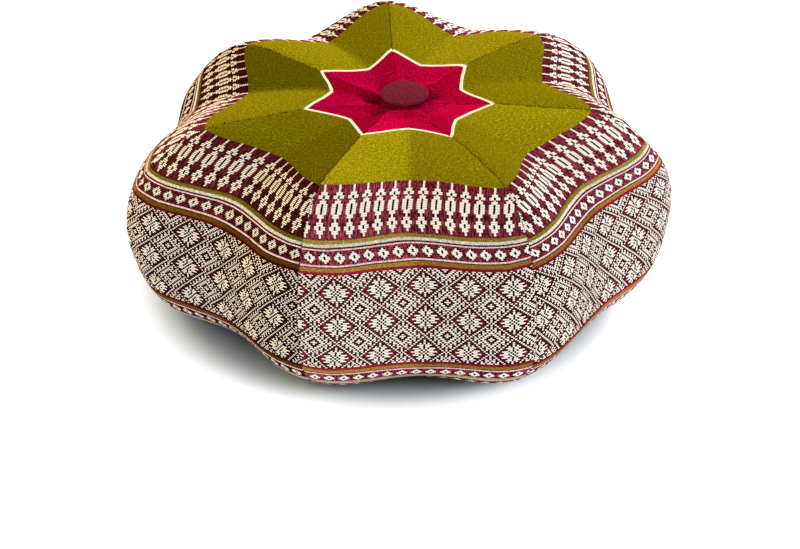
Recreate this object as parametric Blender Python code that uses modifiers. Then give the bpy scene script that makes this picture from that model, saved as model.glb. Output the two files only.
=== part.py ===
"""A round floor cushion of seven lobes: one filled body, tufted with a covered button on each face.

The cover is seven gores of banded cloth. The seams between them run along the ridges of the lobes, and
each gore has a soft fold along its middle. Metres, +Z up, the middle of the underside at the origin.
"""

import math

import bmesh
import bpy
import numpy as np

MM = 0.001

# The lobes, seen from above: angles from +X towards +Y
LOBES = 7
FIRST_SEAM_ANGLE = math.radians(94.0)
HALF_GORE = math.pi / LOBES

# A line across the cushion's half section, from the middle of the top to the middle of the underside.
# Each row is one section: the distance from the axis and the height of the seam's ridge and of the fold
# in the gore's middle, in millimetres, and how round the cloth turns there, from 0, creased, to 1.
SECTIONS = (
    # name, seam_reach, seam_height, fold_reach, fold_height, seam_round, fold_round
    ("seat_middle", 5.0, 144.0, 5.0, 144.0, 1.0, 1.0),
    ("seat", 11.5, 144.0, 11.5, 144.0, 1.0, 1.0),
    ("neck", 15.5, 149.8, 15.5, 142.5, 0.5, 0.5),
    ("rim", 20.0, 151.6, 20.5, 146.5, 0.3, 0.5),
    ("star_half", 44.0, 154.3, 32.0, 152.5, 0.2, 0.3),
    ("star", 69.0, 157.0, 48.0, 155.0, 0.2, 0.25),
    ("olive_half", 106.0, 157.0, 80.0, 153.5, 0.35, 0.25),
    ("olive", 141.5, 154.5, 112.5, 148.0, 0.5, 0.2),
    ("lantern_half", 162.0, 146.0, 135.0, 141.0, 0.65, 0.15),
    ("stripe", 177.0, 133.0, 153.0, 131.0, 0.75, 0.1),
    ("ochre", 188.0, 117.5, 167.5, 115.5, 0.85, 0.1),
    ("girth", 196.0, 95.0, 172.0, 90.0, 0.9, 0.2),
    ("low_side", 196.5, 61.0, 176.5, 57.0, 0.9, 0.4),
    ("low_ochre", 188.0, 29.0, 173.5, 29.0, 0.9, 0.5),
    ("foot", 166.0, 5.0, 150.0, 6.0, 0.9, 0.5),
    ("base_outside", 142.0, 0.0, 123.0, 0.0, 0.9, 0.5),
    ("base_middle", 105.0, 0.0, 92.0, 0.0, 0.7, 0.5),
    ("base_inside", 66.0, 0.0, 60.0, 0.0, 0.5, 0.5),
    ("under_star", 44.0, 4.0, 40.0, 6.5, 0.3, 0.3),
    ("under_rim", 20.0, 12.5, 20.5, 18.0, 0.3, 0.5),
    ("under_neck", 14.5, 14.5, 15.0, 22.0, 0.5, 0.5),
    ("under_seat", 10.5, 20.5, 10.5, 20.5, 1.0, 1.0),
    ("under_seat_middle", 5.0, 20.5, 5.0, 20.5, 1.0, 1.0),
)

# The lobes aren't even: what each seam's and each fold's reach is multiplied by, from the first seam on
SEAM_UNEVEN = (1.05, 0.985, 1.045, 0.98, 1.02, 1.03, 1.02)
FOLD_UNEVEN = (0.99, 1.01, 1.0, 0.965, 1.02, 1.035, 1.035)
UNEVEN_FROM = 70.0 * MM  # the reach at which the unevenness is full
CAGE_OUTSIDE = 1.018  # the cage stands this much outside the cloth there, because the subdivision draws it in

# Columns between a seam and the next fold, and how far the cloth's ends lean into their turn
COLUMNS_PER_HALF = 3
TURN_LENGTH = 1.2
SEAM_CREASE = 0.8
SUBDIVISIONS = 1

# The covered buttons: a domed disc on a short gathered neck
BUTTON_RADIUS = 17.5 * MM
BUTTON_DISC = 8.4 * MM
BUTTON_EDGE_DROP = 4.2 * MM
DOME_FLATNESS = 2.4  # the power of the distance from the axis by which the dome falls
EDGE_FROM = math.radians(62.0)  # the slope angle at which the dome turns into the edge
NECK_RADIUS = 5.5 * MM
NECK_FLARE = 1.5
TOP_BUTTON_SHIFT = (2.5 * MM, 2.0 * MM)
TOP_BUTTON_RIM_HEIGHT = 152.4 * MM
UNDER_BUTTON_RIM_HEIGHT = 10.7 * MM
GAP = 0.3 * MM
BUTTON_STEPS = 32
DOME_STEPS = 4
EDGE_STEPS = 4


def clear_scene():
    for obj in list(bpy.data.objects):
        bpy.data.objects.remove(obj, do_unlink=True)


def new_collection(name):
    collection = bpy.data.collections.new(name)
    bpy.context.scene.collection.children.link(collection)
    return collection


def new_material(name, colour, roughness):
    material = bpy.data.materials.new(name)
    material.use_nodes = True
    shader = material.node_tree.nodes["Principled BSDF"]
    shader.inputs["Base Color"].default_value = (*colour, 1.0)
    shader.inputs["Roughness"].default_value = roughness
    shader.inputs["Metallic"].default_value = 0.0
    material.diffuse_color = (*colour, 1.0)
    return material


def section_columns():
    """The table's numbers by column, in metres, each as [section, 1]."""
    table = np.array([row[1:] for row in SECTIONS])
    table[:, :4] *= MM
    return table.T[:, :, None]


def direction(angle):
    return np.array([math.cos(angle), math.sin(angle), 0.0])


def uneven(reach, factor):
    return reach * (1 + (factor * CAGE_OUTSIDE - 1) * np.clip(reach / UNEVEN_FROM, 0, 1))


def half_gore(seam_angle, side, seam_factor, fold_factor):
    """The cloth between a seam and the fold beside it, as [section, column, xyz]: in each section a cubic
    curve from the ridge to the fold, whose ends head straight across or along the turn, as the rounding
    says."""
    seam_reach, seam_height, fold_reach, fold_height, seam_round, fold_round = section_columns()
    fold_angle = seam_angle + side * HALF_GORE
    up = np.array([0.0, 0.0, 1.0])
    seam = uneven(seam_reach, seam_factor) * direction(seam_angle) + seam_height * up
    fold = uneven(fold_reach, fold_factor) * direction(fold_angle) + fold_height * up
    across = fold - seam
    width = np.linalg.norm(across, axis=1, keepdims=True)
    seam_turn = side * width * direction(seam_angle + math.pi / 2)
    fold_turn = side * width * direction(fold_angle + math.pi / 2)
    leave = TURN_LENGTH * ((1 - seam_round) * across + seam_round * seam_turn)
    arrive = TURN_LENGTH * ((1 - fold_round) * across + fold_round * fold_turn)
    t = (np.arange(COLUMNS_PER_HALF + 1) / COLUMNS_PER_HALF)[None, :, None]
    return (
        (2 * t**3 - 3 * t**2 + 1) * seam[:, None]
        + (t**3 - 2 * t**2 + t) * leave[:, None]
        + (3 * t**2 - 2 * t**3) * fold[:, None]
        + (t**3 - t**2) * arrive[:, None]
    )


def cushion_rings():
    """Every section of the cage as [section, column, xyz], starting at the first seam."""
    columns = []
    for lobe in range(LOBES):
        angle = FIRST_SEAM_ANGLE + 2 * HALF_GORE * lobe
        following = (lobe + 1) % LOBES
        first = half_gore(angle, 1, SEAM_UNEVEN[lobe], FOLD_UNEVEN[lobe])
        second = half_gore(angle + 2 * HALF_GORE, -1, SEAM_UNEVEN[following], FOLD_UNEVEN[lobe])
        columns += [first[:, :-1], second[:, :0:-1]]
    return np.concatenate(columns, axis=1)


def make_cushion(collection, material):
    """The filled body: a loft through the sections, closed at both seats, creased along the seams and
    finished with a subdivision."""
    shape = bmesh.new()
    loops = [[shape.verts.new(place) for place in ring] for ring in cushion_rings()]
    columns = len(loops[0])
    for upper, lower in zip(loops, loops[1:]):
        for column in range(columns):
            beside = (column + 1) % columns
            shape.faces.new((upper[column], lower[column], lower[beside], upper[beside]))
    shape.faces.new(loops[0])
    shape.faces.new(loops[-1])
    bmesh.ops.recalc_face_normals(shape, faces=shape.faces)
    crease = shape.edges.layers.float.new("crease_edge")
    for section, (upper, lower) in enumerate(zip(loops, loops[1:])):
        for column in range(0, columns, 2 * COLUMNS_PER_HALF):
            seam = shape.edges.get((upper[column], lower[column]))
            seam[crease] = SEAM_CREASE * (1 - SECTIONS[section][5])
    mesh = bpy.data.meshes.new("cushion")
    shape.to_mesh(mesh)
    shape.free()
    mesh.materials.append(material)
    mesh.shade_smooth()
    cushion = bpy.data.objects.new("cushion", mesh)
    collection.objects.link(cushion)
    finish = cushion.modifiers.new("filled form", "SUBSURF")
    finish.levels = SUBDIVISIONS
    finish.render_levels = SUBDIVISIONS
    return cushion


def middle_seen_from_above(obj):
    """The middle of the object's box, as its modifiers leave it."""
    finished = obj.evaluated_get(bpy.context.evaluated_depsgraph_get())
    mesh = finished.to_mesh()
    places = np.empty(len(mesh.vertices) * 3)
    mesh.vertices.foreach_get("co", places)
    finished.to_mesh_clear()
    places = places.reshape(-1, 3)
    return (places.min(axis=0) + places.max(axis=0))[:2] / 2


def button_profile(seat_depth):
    """Half a section of a button, down its outer side: the dome, the rounded edge, the underside and the
    neck, as (distance from the axis, height above the rim's underside)."""
    edge = (BUTTON_DISC - BUTTON_EDGE_DROP) / 2
    flat_radius = BUTTON_RADIUS - edge
    points = []
    for step in range(DOME_STEPS):
        share = step / DOME_STEPS
        points.append((flat_radius * share, BUTTON_DISC - BUTTON_EDGE_DROP * share**DOME_FLATNESS))
    for step in range(EDGE_STEPS + 1):
        angle = EDGE_FROM - (EDGE_FROM + math.pi / 2) * step / EDGE_STEPS
        points.append((flat_radius + edge * math.cos(angle), edge + edge * math.sin(angle)))
    points.append((NECK_RADIUS * NECK_FLARE, 0.0))
    points.append((NECK_RADIUS, -seat_depth / 3))
    points.append((NECK_RADIUS, -seat_depth))
    points.append((0.0, -seat_depth))
    return points


def make_button(name, collection, material, axis, rim_height, seat_height, shift, facing):
    """A turned covered button beside the cushion's axis, its dome facing up (1) or down (-1)."""
    seat_depth = facing * (rim_height - seat_height) - GAP
    profile = button_profile(seat_depth)
    mesh = bpy.data.meshes.new(name)
    edges = [(i, i + 1) for i in range(len(profile) - 1)]
    mesh.from_pydata([(reach, 0.0, height) for reach, height in profile], edges, [])
    mesh.materials.append(material)
    button = bpy.data.objects.new(name, mesh)
    collection.objects.link(button)
    button.parent = axis
    button.location = (shift[0], shift[1], rim_height)
    if facing < 0:
        button.rotation_euler = (math.pi, 0.0, 0.0)
    turn = button.modifiers.new("turned", "SCREW")
    turn.steps = BUTTON_STEPS
    turn.render_steps = BUTTON_STEPS
    turn.use_merge_vertices = True
    turn.merge_threshold = 0.00005
    turn.use_smooth_shade = True
    return button


def main():
    clear_scene()
    collection = new_collection("lobed cushion")
    cover = new_material("banded cover", (0.23, 0.14, 0.03), 0.85)
    button_cloth = new_material("button cloth", (0.11, 0.02, 0.045), 0.8)
    cushion = make_cushion(collection, cover)
    axis = bpy.data.objects.new("tufting axis", None)
    collection.objects.link(axis)
    axis.location = (*-middle_seen_from_above(cushion), 0.0)
    cushion.parent = axis
    seats = {row[0]: row[2] * MM for row in SECTIONS}
    make_button(
        "button_top", collection, button_cloth, axis, TOP_BUTTON_RIM_HEIGHT, seats["seat"], TOP_BUTTON_SHIFT, 1
    )
    make_button(
        "button_bottom", collection, button_cloth, axis, UNDER_BUTTON_RIM_HEIGHT, seats["under_seat"], (0, 0), -1
    )


main()
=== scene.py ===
"""A round lobed floor cushion: seven gores of banded cloth over a firm filling, and two covered buttons."""

from types import SimpleNamespace
import bpy
import numpy as np
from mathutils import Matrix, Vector


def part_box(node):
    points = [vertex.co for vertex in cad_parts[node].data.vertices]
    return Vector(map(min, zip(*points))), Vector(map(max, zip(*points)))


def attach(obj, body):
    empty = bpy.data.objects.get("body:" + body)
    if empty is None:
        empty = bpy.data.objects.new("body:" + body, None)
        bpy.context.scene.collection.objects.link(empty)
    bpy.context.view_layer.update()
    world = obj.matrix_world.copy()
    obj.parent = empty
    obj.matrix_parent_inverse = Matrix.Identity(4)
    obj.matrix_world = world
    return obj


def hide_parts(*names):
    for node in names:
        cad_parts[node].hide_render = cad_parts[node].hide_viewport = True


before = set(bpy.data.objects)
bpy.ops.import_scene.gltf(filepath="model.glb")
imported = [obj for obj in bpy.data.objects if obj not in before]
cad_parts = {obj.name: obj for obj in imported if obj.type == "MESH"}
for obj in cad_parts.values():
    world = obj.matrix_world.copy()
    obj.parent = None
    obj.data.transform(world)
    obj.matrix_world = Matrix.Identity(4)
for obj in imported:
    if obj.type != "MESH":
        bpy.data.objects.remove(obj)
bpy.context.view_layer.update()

MM = 0.001
TURN = 2 * np.pi

# Gores: where each seam and each fold stands round the axis, and its reach as a share of the mean. The share
# grows from the axis outwards and holds in full beyond UNEVEN_FROM.
LOBES = 7
HALF_GORE = np.pi / LOBES
SEAM_ANGLES = np.radians(94.0) + 2 * HALF_GORE * np.arange(LOBES)
FOLD_ANGLES = SEAM_ANGLES + HALF_GORE
SEAM_UNEVEN = np.array([1.05, 0.985, 1.057, 0.98, 1.02, 1.034, 1.025])
FOLD_UNEVEN = np.array([0.99, 1.01, 1.0, 0.965, 1.02, 1.015, 1.035])
UNEVEN_FROM = 70 * MM
# How far each seam and each fold is drawn in at the foot: not at all above FOOT_TOP, in full below FOOT_LOW
SEAM_FOOT_IN = np.array([0, 0, 3.0, 0, 0, 0, 0]) * MM
FOLD_FOOT_IN = np.array([0, 2.0, 6.0, 0, 0, 0, 0]) * MM
FOOT_TOP = 80 * MM
FOOT_LOW = 20 * MM
# How far the shoulder of each gore's first and last half lies in, and where down the cushion
SHOULDER_IN = np.array([[0, 0], [0, 0], [0, 0], [0, 0], [0, 0], [6.0, -3.0], [0, 0]]) * MM
SHOULDER_AT = 170 * MM
SHOULDER_SPAN = 30 * MM
# How long the line from seam to fold keeps its first and its last heading, as a share of its width
TURN_LENGTH = 1.2

# Down the cushion from the top button, in millimetres: the reach and height of the seam, the reach and
# height of the fold, how round the band lines are where they leave each of them, and how full the gore is:
# at 1 it slopes evenly from seam to fold, and above 1 it stays high and drops close to the fold
SECTIONS = np.array([
    [5.0, 147.5, 5.0, 147.5, 1.0, 1.0, 1.0],
    [11.0, 149.6, 11.0, 147.2, 1.0, 1.0, 1.0],
    [15.5, 151.9, 15.5, 143.5, 0.5, 0.5, 1.0],
    [20.0, 153.2, 20.5, 146.5, 0.2, 0.4, 1.0],
    [44.0, 154.3, 32.0, 152.5, 0.05, 0.35, 1.0],
    [69.0, 157.0, 48.0, 155.0, 0.0, 0.4, 1.2],
    [106.0, 157.0, 80.0, 153.5, 0.3, 0.5, 1.8],
    [141.5, 154.5, 112.5, 148.0, 0.5, 0.25, 2.0],
    [162.0, 146.0, 135.0, 141.0, 0.65, 0.15, 2.0],
    [177.0, 133.0, 153.0, 131.0, 0.75, 0.1, 1.7],
    [188.0, 117.5, 167.5, 115.5, 0.85, 0.1, 1.4],
    [196.0, 95.0, 172.0, 90.0, 0.9, 0.2, 1.2],
    [196.5, 61.0, 176.5, 57.0, 0.9, 0.4, 1.2],
    [188.0, 29.0, 173.5, 29.0, 0.9, 0.5, 1.2],
    [166.0, 5.0, 150.0, 6.0, 0.9, 0.5, 1.2],
    [142.0, 0.0, 123.0, 0.0, 0.9, 0.5, 1.0],
    [105.0, 0.0, 92.0, 0.0, 0.7, 0.5, 1.0],
    [66.0, 0.0, 60.0, 0.0, 0.5, 0.5, 1.0],
    [44.0, 4.0, 40.0, 6.5, 0.3, 0.3, 1.0],
    [20.0, 12.5, 20.5, 18.0, 0.3, 0.5, 1.0],
    [14.5, 14.5, 15.0, 22.0, 0.5, 0.5, 1.0],
    [10.5, 20.5, 10.5, 20.5, 1.0, 1.0, 1.0],
    [5.0, 20.5, 5.0, 20.5, 1.0, 1.0, 1.0],
]) * ([MM] * 4 + [1] * 3)
# How much higher each fold lies beside the top button, where the filling pushes the cloth up against it, and
# where down the cushion
BUTTON_SIDE_RISE = np.array([1.5, 0.0, 3.5, 9.0, 6.5, 1.5, 2.0]) * MM
BUTTON_SIDE_AT = 18.5 * MM
BUTTON_SIDE_SPAN = 7.5 * MM

# Mesh: steps between sections and between strays, rows down the cushion, columns across half a gore, and
# the powers that draw the columns together at the seam and at the fold
SECTION_STEPS = 40
STRAY_STEPS = 20
ROWS = 300
HALF_COLUMNS = 21
CLOSER_AT_SEAM = 1.8
CLOSER_AT_FOLD = 1.25

# How far each seam and each fold strays from its even place, in millimetres, at the four middle distances of
# STRAY_AT: sideways round the cushion, and down the cushion for the bands of the cloth alone
STRAY_AT = np.array([0, 53.0, 115.0, 160.0, 183.0, 300.0]) * MM
SEAM_STRAY = np.array([
    [0.3, -1.9, 0.0, 0.0], [2.9, -3.0, -2.0, 0.0], [0.5, 3.6, 4.2, 3.3], [-3.7, -5.2, -3.0, -1.0],
    [3.0, 2.5, -0.5, -3.0], [-2.5, 1.0, -2.3, 3.9], [-0.3, -1.5, 0.0, 0.0],
]) * MM
FOLD_STRAY = np.array([
    [-1.1, 0.0, 0.0, 0.0], [0.2, 0.3, 0.0, 0.0], [0.2, -1.5, 0.9, -0.6], [3.4, 0.3, -4.2, 0.5],
    [-3.7, -4.7, -0.8, 4.0], [-1.5, 1.2, -1.5, -4.0], [2.3, 0.0, 0.0, 0.0],
]) * MM
SEAM_DROP = np.array([
    [-1.8, 3.0, 1.0, 0.0], [1.0, 5.5, 7.0, 4.0], [-0.4, 0.3, 5.9, 5.9], [-3.4, -0.9, 0.0, 0.0],
    [0.2, 3.4, -0.2, -2.2], [-0.3, -1.7, 1.3, 0.6], [-2.1, 1.4, 0.0, 0.0],
]) * MM
FOLD_DROP = np.array([
    [0.6, 0.0, 0.0, 0.0], [2.2, 1.5, 0.0, 0.0], [1.2, 1.6, 1.4, 0.9], [0.3, -0.1, 1.8, 0.5],
    [4.4, 2.6, 1.3, -1.6], [-0.3, 0.6, -2.7, -3.0], [1.3, 0.0, 0.0, 0.0],
]) * MM

# Sewing and filling
SEAM_DEPTH = 0.7 * MM
SEAM_WIDTH = 1.1 * MM
PUCKER_DEPTH = 0.35 * MM
PUCKER_REACH = 7 * MM
PUCKER_LENGTH = 7 * MM
PUCKER_SEED = 3
LUMP_DEPTH = 0.5 * MM
LUMP_LENGTH = 60 * MM
LUMP_SEED = 5
# How far apart in the noise two half gores' puckers lie
PUCKER_SHIFT = 0.1
# The relief fades away below this height
RELIEF_FROM = 6 * MM
# Soft noise is the sum of this many waves, which seldom passes the peak
NOISE_WAVES = 12
NOISE_PEAK = 4
# How far each gore's bands have slipped down at its first and its last seam, from none at SLIP_FROM down the
# cushion to all at SLIP_TO
SLIPS = np.array([[0, 1.0], [-1.0, 0], [0, 0], [0.5, -1.5], [3.0, -0.5], [0.5, 1.0], [-1.0, 0]]) * MM
SLIP_FROM = 110 * MM
SLIP_TO = 165 * MM
# Painted light and shade: how much lighter or darker the cloth of each gore's first and last half is painted,
# standing in for the way the lamps fall on its slope, and how far to each side of the fold the two blend. The
# crimson star shows only this share of it.
PANEL_LIGHT_AND_SHADE = np.array([
    [0.72, 1.17], [0.45, 1.02], [0.72, 0.54], [1.43, 0.98], [0.88, 1.28], [0.88, 0.83], [1.2, 1.01],
])
PANEL_BLEND = 5 * MM
STAR_PANEL_SHARE = 0.65

# Bands of the cloth, as distances along the fold from the middle of the diamond band. Below that middle
# every band comes sooner by the lower rise. No cloth lies beyond the last.
BAND_MIDDLE = 227.4 * MM
LOWER_RISE = 4.8 * MM
CELL_ACROSS = 1.445 * MM
BAND_CELL_ACROSS = 1.49 * MM
CELL_ALONG = 1.345 * MM
DIAMOND_END = 40.5 * MM
CRIMSON_LINE_END = 42.9 * MM
OCHRE_END = 45.9 * MM
DARK_LINE_END = 46.8 * MM
PINK_LINE_END = 48.1 * MM
FLOWER_END = 59.5 * MM
UPPER_PINK_END = 60.6 * MM
UPPER_DARK_END = 62.0 * MM
GREY_END = 64.4 * MM
OLIVE_LINE_END = 67.4 * MM
LANTERN_END = 112.0 * MM
OLIVE_END = 174.4 * MM
STAR_LINE_END = 176.8 * MM
CLOTH_END = 1.0

# Woven charts: C cream, R crimson, K dark, . ground. The first letter of a row is the motif's middle, and
# the rows are mirrored about it. The diamond and the flower are mirrored about their first row as well.
DIAMOND_CHART = """
KCKCCCCRKKCK
CKCCCKRRKCKC
KCKCCCRRCKKC
.CCK..KC.C.C
.CCCR.CKKCCK
C.C..CKCKCKC
C..KCKKCCKCC
C..C.CKCKCCK
R.CK.CCKCCKK
KCKCKCKCCKKC
CKRCCKCCKKCC
""".split()
LANTERN_CHART = """
C...
C...
C...
C...
C...
CC..
CCK.
KCC.
KCC.
C...
CC..
CC..
KCC.
KCC.
KCC.
KCC.
KCC.
KCC.
CC..
CC..
CK..
CK..
CC..
CCK.
KCC.
KCC.
CC..
CC..
C...
C...
....
""".split()
FLOWER_CHART = """
KCC.
CCK.
CK..
K...
""".split()
LANTERN_ROW = (LANTERN_END - OLIVE_LINE_END) / len(LANTERN_CHART)
FLOWER_MIDDLE = (PINK_LINE_END + FLOWER_END) / 2
FLOWER_ROW = (FLOWER_END - PINK_LINE_END) / (2 * len(FLOWER_CHART))
# Cells in one repeat of the diamonds, across and down, and of the lanterns and the flowers across
DIAMOND_COLUMNS = 22.0
DIAMOND_ROWS = 20.0
MOTIF_COLUMNS = 7.0
# How far beside the fold the middle of a diamond lies
DIAMOND_SHIFT = 2.5 * CELL_ACROSS
# How many cells across and down the bloom in a diamond's middle reaches
BLOOM_COLUMNS = 7.5
BLOOM_ROWS = 6.5
CELL_KINDS = ("Cream", "Crimson", "Dark")
# The gores lie this far apart in the cloth map, and the pattern's columns are counted from each fold
GORE_SHIFT = 260 * MM

# Weave: a yarn's width on the cover and on the buttons, the teeth that yarns make along a band's edge, the
# twist of the pink yarn across and down, the stitches, and how far the cloth wanders across and sways down
YARN = 0.62 * MM
BUTTON_YARN = 0.6 * MM
TOOTH_PITCH = 0.75 * MM
TOOTH_HEIGHT = 0.18 * MM
TWIST_ACROSS = 1.4 * MM
TWIST_DOWN = 2.2 * MM
STITCH_PITCH = 2.6 * MM
STITCH_REACH = 0.55 * MM
WANDER = 0.35 * MM
SWAY = 0.8 * MM

# Noises of the cloth: scale across, scale down, layer, detail and, where it isn't 0.5, roughness. The first
# four are scaled by the metre and the last three by the yarn.
WANDER_GRAIN = (260.0, 260.0, 0.0, 2.0)
SWAY_GRAIN = (45.0, 45.0, 4.0, 1.0)
MOTTLE_GRAIN = (620.0, 620.0, 9.0, 2.0)
STREAK_GRAIN = (950.0, 170.0, 2.0, 2.0)
WEFT_GRAIN = (0.25, 0.7, 0.0, 2.0, 0.6)
WARP_GRAIN = (0.7, 0.2, 7.0, 2.0, 0.6)
SPECKLE_GRAIN = (0.5, 0.5, 3.0, 1.0)

# Where a noise or wave starts and ends to show
STREAK_EDGES = (0.3, 0.7)
SPECKLE_EDGES = (0.56, 0.74)
SPARKLE_EDGES = (0.6, 0.72)
TWIST_EDGES = (0.0, 0.9)
STITCH_EDGES = (-0.6, 0.4)
GAP_EDGES = (0.2, 0.46)
# How much light a colour keeps where each noise is 0 and where it is 1
STREAK_TONES = (0.4, 1.5)
THREAD_TONES = (0.5, 1.3)
MOTTLE_TONES = (0.2, 1.8)
WANDER_TONES = (0.88, 1.14)
BUTTON_TONES = (0.5, 1.4)
# The painted tones between which a half gore counts as shaded, and what its painted shade does, from bright
# to shaded: the tone of the patterned bands, and the strength of the gaps between rows and between columns
SHADED_TONES = (1.0, 0.5)
SHADED_PATTERN = (1.0, 0.5)
SHADED_ROW_GAPS = (1.1, 3.6)
SHADED_COLUMN_GAPS = (0.1, 0.6)
# How strongly each effect shows, the stitches in the star and below it
STITCH_SEEN = (0.25, 0.85)
THREAD_CONTRAST = 1.7
SPECKLE_SEEN = 0.35
SPARKLE_SEEN = 0.4
TWIST_SEEN = 0.6
LANTERN_GAP = 0.45
DIAMOND_GAP = 0.95
CREAM_SEEN = 0.97
FLUFF_SEEN = 0.25
UNDER_SHADE_SEEN = 0.9

# Surface: how much yarns, cream floats and uneven yarns stand out, how deep that looks, and the roughness
YARN_RAISED = 0.35
CREAM_RAISED = 0.25
UNEVEN_RAISED = 0.5
BUTTON_YARN_RAISED = 0.5
BUTTON_UNEVEN_RAISED = 0.6
BUMP_STRENGTH = 0.5
BUMP_DISTANCE = 0.4 * MM
MATT = 0.9

# Buttons
BUTTON_RADIUS = 17.6 * MM
EDGE_BULGE = 1.1 * MM
DOME_HEIGHT = 1.9 * MM
DOME_POWER = 2.2
EDGE_HEIGHT = 3.1 * MM
UNDER_HEIGHT = 1.2 * MM
NECK_HEIGHT = 5.6 * MM
NECK_RADIUS = 4.2 * MM
BUTTON_ROWS = 72
BUTTON_COLUMNS = 120
# Shares of the profile, from the dome's middle to the neck's end, at which the edge, the underside and the
# neck start, and between which the gathers, the ripples and the underside's painted shade come in
EDGE_FROM = 0.5
UNDER_FROM = 0.7
NECK_FROM = 0.88
GATHER_SPAN = (0.6, 0.78)
RIPPLE_SPAN = (0.45, 0.55)
SHADE_SPAN = (0.66, 0.74)
# Waves round the button, with their depth as a share of its reach, and its soft lumps
GATHERS = 13
GATHER_DEPTH = 0.03
GATHER_MEAN = 0.6
GATHER_SWAYS = 3
GATHER_SWAY = 0.6
RIPPLES = 41
RIPPLE_DEPTH = 0.006
BUTTON_LUMP_DEPTH = 0.15 * MM
BUTTON_LUMP_LENGTH = 9 * MM
# How far the top button sits off the middle of its CAD button, and the height of each button's rim
TOP_BUTTON_OFF = np.array([1.4, 2.2, 0]) * MM
TOP_RIM = 155.6 * MM
BOTTOM_RIM = 6.7 * MM

# Floor: a painted shadow pales with the distance from this middle, between one pair of distances, and painted
# glow starts between the other. Its pale colour is bluish against the warm lamps, and from left to right,
# between two places along x, it takes on the right side's tint, which sets it back to grey under the cooler
# lamps.
FLOOR_HALF_WIDTH = 6
FLOOR_GLOW = 0.74
FLOOR_SPECULAR = 0.1
SHADE_MIDDLE = (-0.012, -0.004, 0)
SHADE_FROM = 0.133
SHADE_TO = 0.191
GLOW_FROM = 0.16
GLOW_TO = 0.208
FLOOR_RIGHT = (-0.13, -0.04)

# Light: each lamp's degrees round and up from the cushion, width, watts and colour. All stand this far from
# a point this high on the axis.
SKY = 0.36
LIGHT_DISTANCE = 4.0
LIGHT_HEIGHT = 0.08
LIGHTS = (
    ("key", 57, 17, 1.2, 218, (1.0, 0.96, 0.96)),
    ("right fill", -28, 30, 2.0, 120, (0.91, 0.95, 1.0)),
    ("left fill", 190, 20, 2.0, 93, (1.0, 0.98, 0.76)),
    ("back left fill", 150, 20, 2.0, 112, (1.0, 0.64, 0.1)),
)

# Camera: its elevation and distance from a point this high on the axis, and the point that it is aimed at, as
# fitted to the photo's outline, seams and bands
CAMERA_ELEVATION = np.radians(31.85)
CAMERA_DISTANCE = 1.96
CAMERA_HEIGHT = 0.0735
CAMERA_AIM = np.array([0.8, 0, -2.5]) * MM
CAMERA_CLIP = (0.1, 20)
SENSOR_MILLIMETRES = 36
FOCAL_PIXELS = 2593
PICTURE_WIDTH = 800

# Colours, linear
CREAM = (0.99, 0.89, 0.79, 1)
WARM_CREAM = (0.99, 0.85, 0.77, 1)
STAR_CREAM = (0.98, 0.81, 0.58, 1)
CREAM_GAP = (0.07, 0.03, 0.02, 1)
# Painted warm light on the yarns of shaded half gores
PAINTED_WARM_LIGHT = (1.07, 1.02, 0.9, 1)
PINK_WHITE = (0.95, 0.64, 0.64, 1)
PINK_TWIST = (0.3, 0.06, 0.08, 1)
GREY_WHITE = (0.64, 0.58, 0.46, 1)
CRIMSON = (0.38, 0.001, 0.038, 1)
LINE_CRIMSON = (0.19, 0.01, 0.02, 1)
LINE_MAROON = (0.045, 0.004, 0.008, 1)
OLIVE = (0.213, 0.174, 0.003, 1)
LINE_OLIVE = (0.225, 0.16, 0.025, 1)
OCHRE = (0.235, 0.127, 0.022, 1)
MAROON = (0.072, 0.007, 0.011, 1)
ROSE = (0.33, 0.05, 0.085, 1)
DIAMOND_GROUND = (0.035, 0.007, 0.007, 1)
DIAMOND_RED = (0.11, 0.009, 0.018, 1)
DARK = (0.02, 0.004, 0.003, 1)
# Painted glints on the plain cloth
SPARKLE_GAIN = (2.2, 2.2, 2.2, 1)
# The floor's colours: pale, painted shadow by the foot, and the right side's tint against the lamps' colours
FLOOR_PALE = (0.61, 0.72, 0.98, 1)
FLOOR_SHADE = (0.106, 0.12, 0.15, 1)
FLOOR_RIGHT_TINT = (1.15, 1.08, 0.85, 1)
BUTTON = (0.15, 0.014, 0.03, 1)
BUTTON_FLUFF = (0.45, 0.09, 0.14, 1)


# Shape of the cover

def cubic(t, start, leave, end, arrive):
    """The cubic curve from start to end that leaves and arrives with these headings."""
    return (
        (2 * t**3 - 3 * t**2 + 1) * start + (t**3 - 2 * t**2 + t) * leave
        + (3 * t**2 - 2 * t**3) * end + (t**3 - t**2) * arrive
    )


def smooth_line(points, lengths, per_step):
    """Points on a curve through the given ones. At each given point the curve heads along the mean of the
    two slopes beside it, the nearer neighbour counting more."""
    lengths = lengths[:, None]
    slopes = np.diff(points, axis=0) / lengths
    inner = (slopes[:-1] * lengths[1:] + slopes[1:] * lengths[:-1]) / (lengths[1:] + lengths[:-1])
    headings = np.concatenate([slopes[:1], inner, slopes[-1:]])
    t = (np.arange(per_step) / per_step)[None, :, None]
    leave, arrive = (headings[:-1] * lengths)[:, None], (headings[1:] * lengths)[:, None]
    curve = cubic(t, points[:-1, None], leave, points[1:, None], arrive)
    return np.concatenate([curve.reshape(-1, points.shape[1]), points[-1:]])


def smooth_step(values, start, end):
    """0 before start, 1 after end, and a smooth rise between."""
    t = np.clip((values - start) / (end - start), 0, 1)
    return t * t * (3 - 2 * t)


def bell(values, middle, span):
    """1 at the middle, falling away to both sides over the span."""
    return np.exp(-(((values - middle) / span) ** 2))


def run_of(points):
    """Distance travelled along each polyline, whose points lie along the last axis but one."""
    steps = np.linalg.norm(np.diff(points, axis=-2), axis=-1)
    return np.concatenate([np.zeros(steps.shape[:-1] + (1,)), np.cumsum(steps, axis=-1)], axis=-1)


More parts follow.
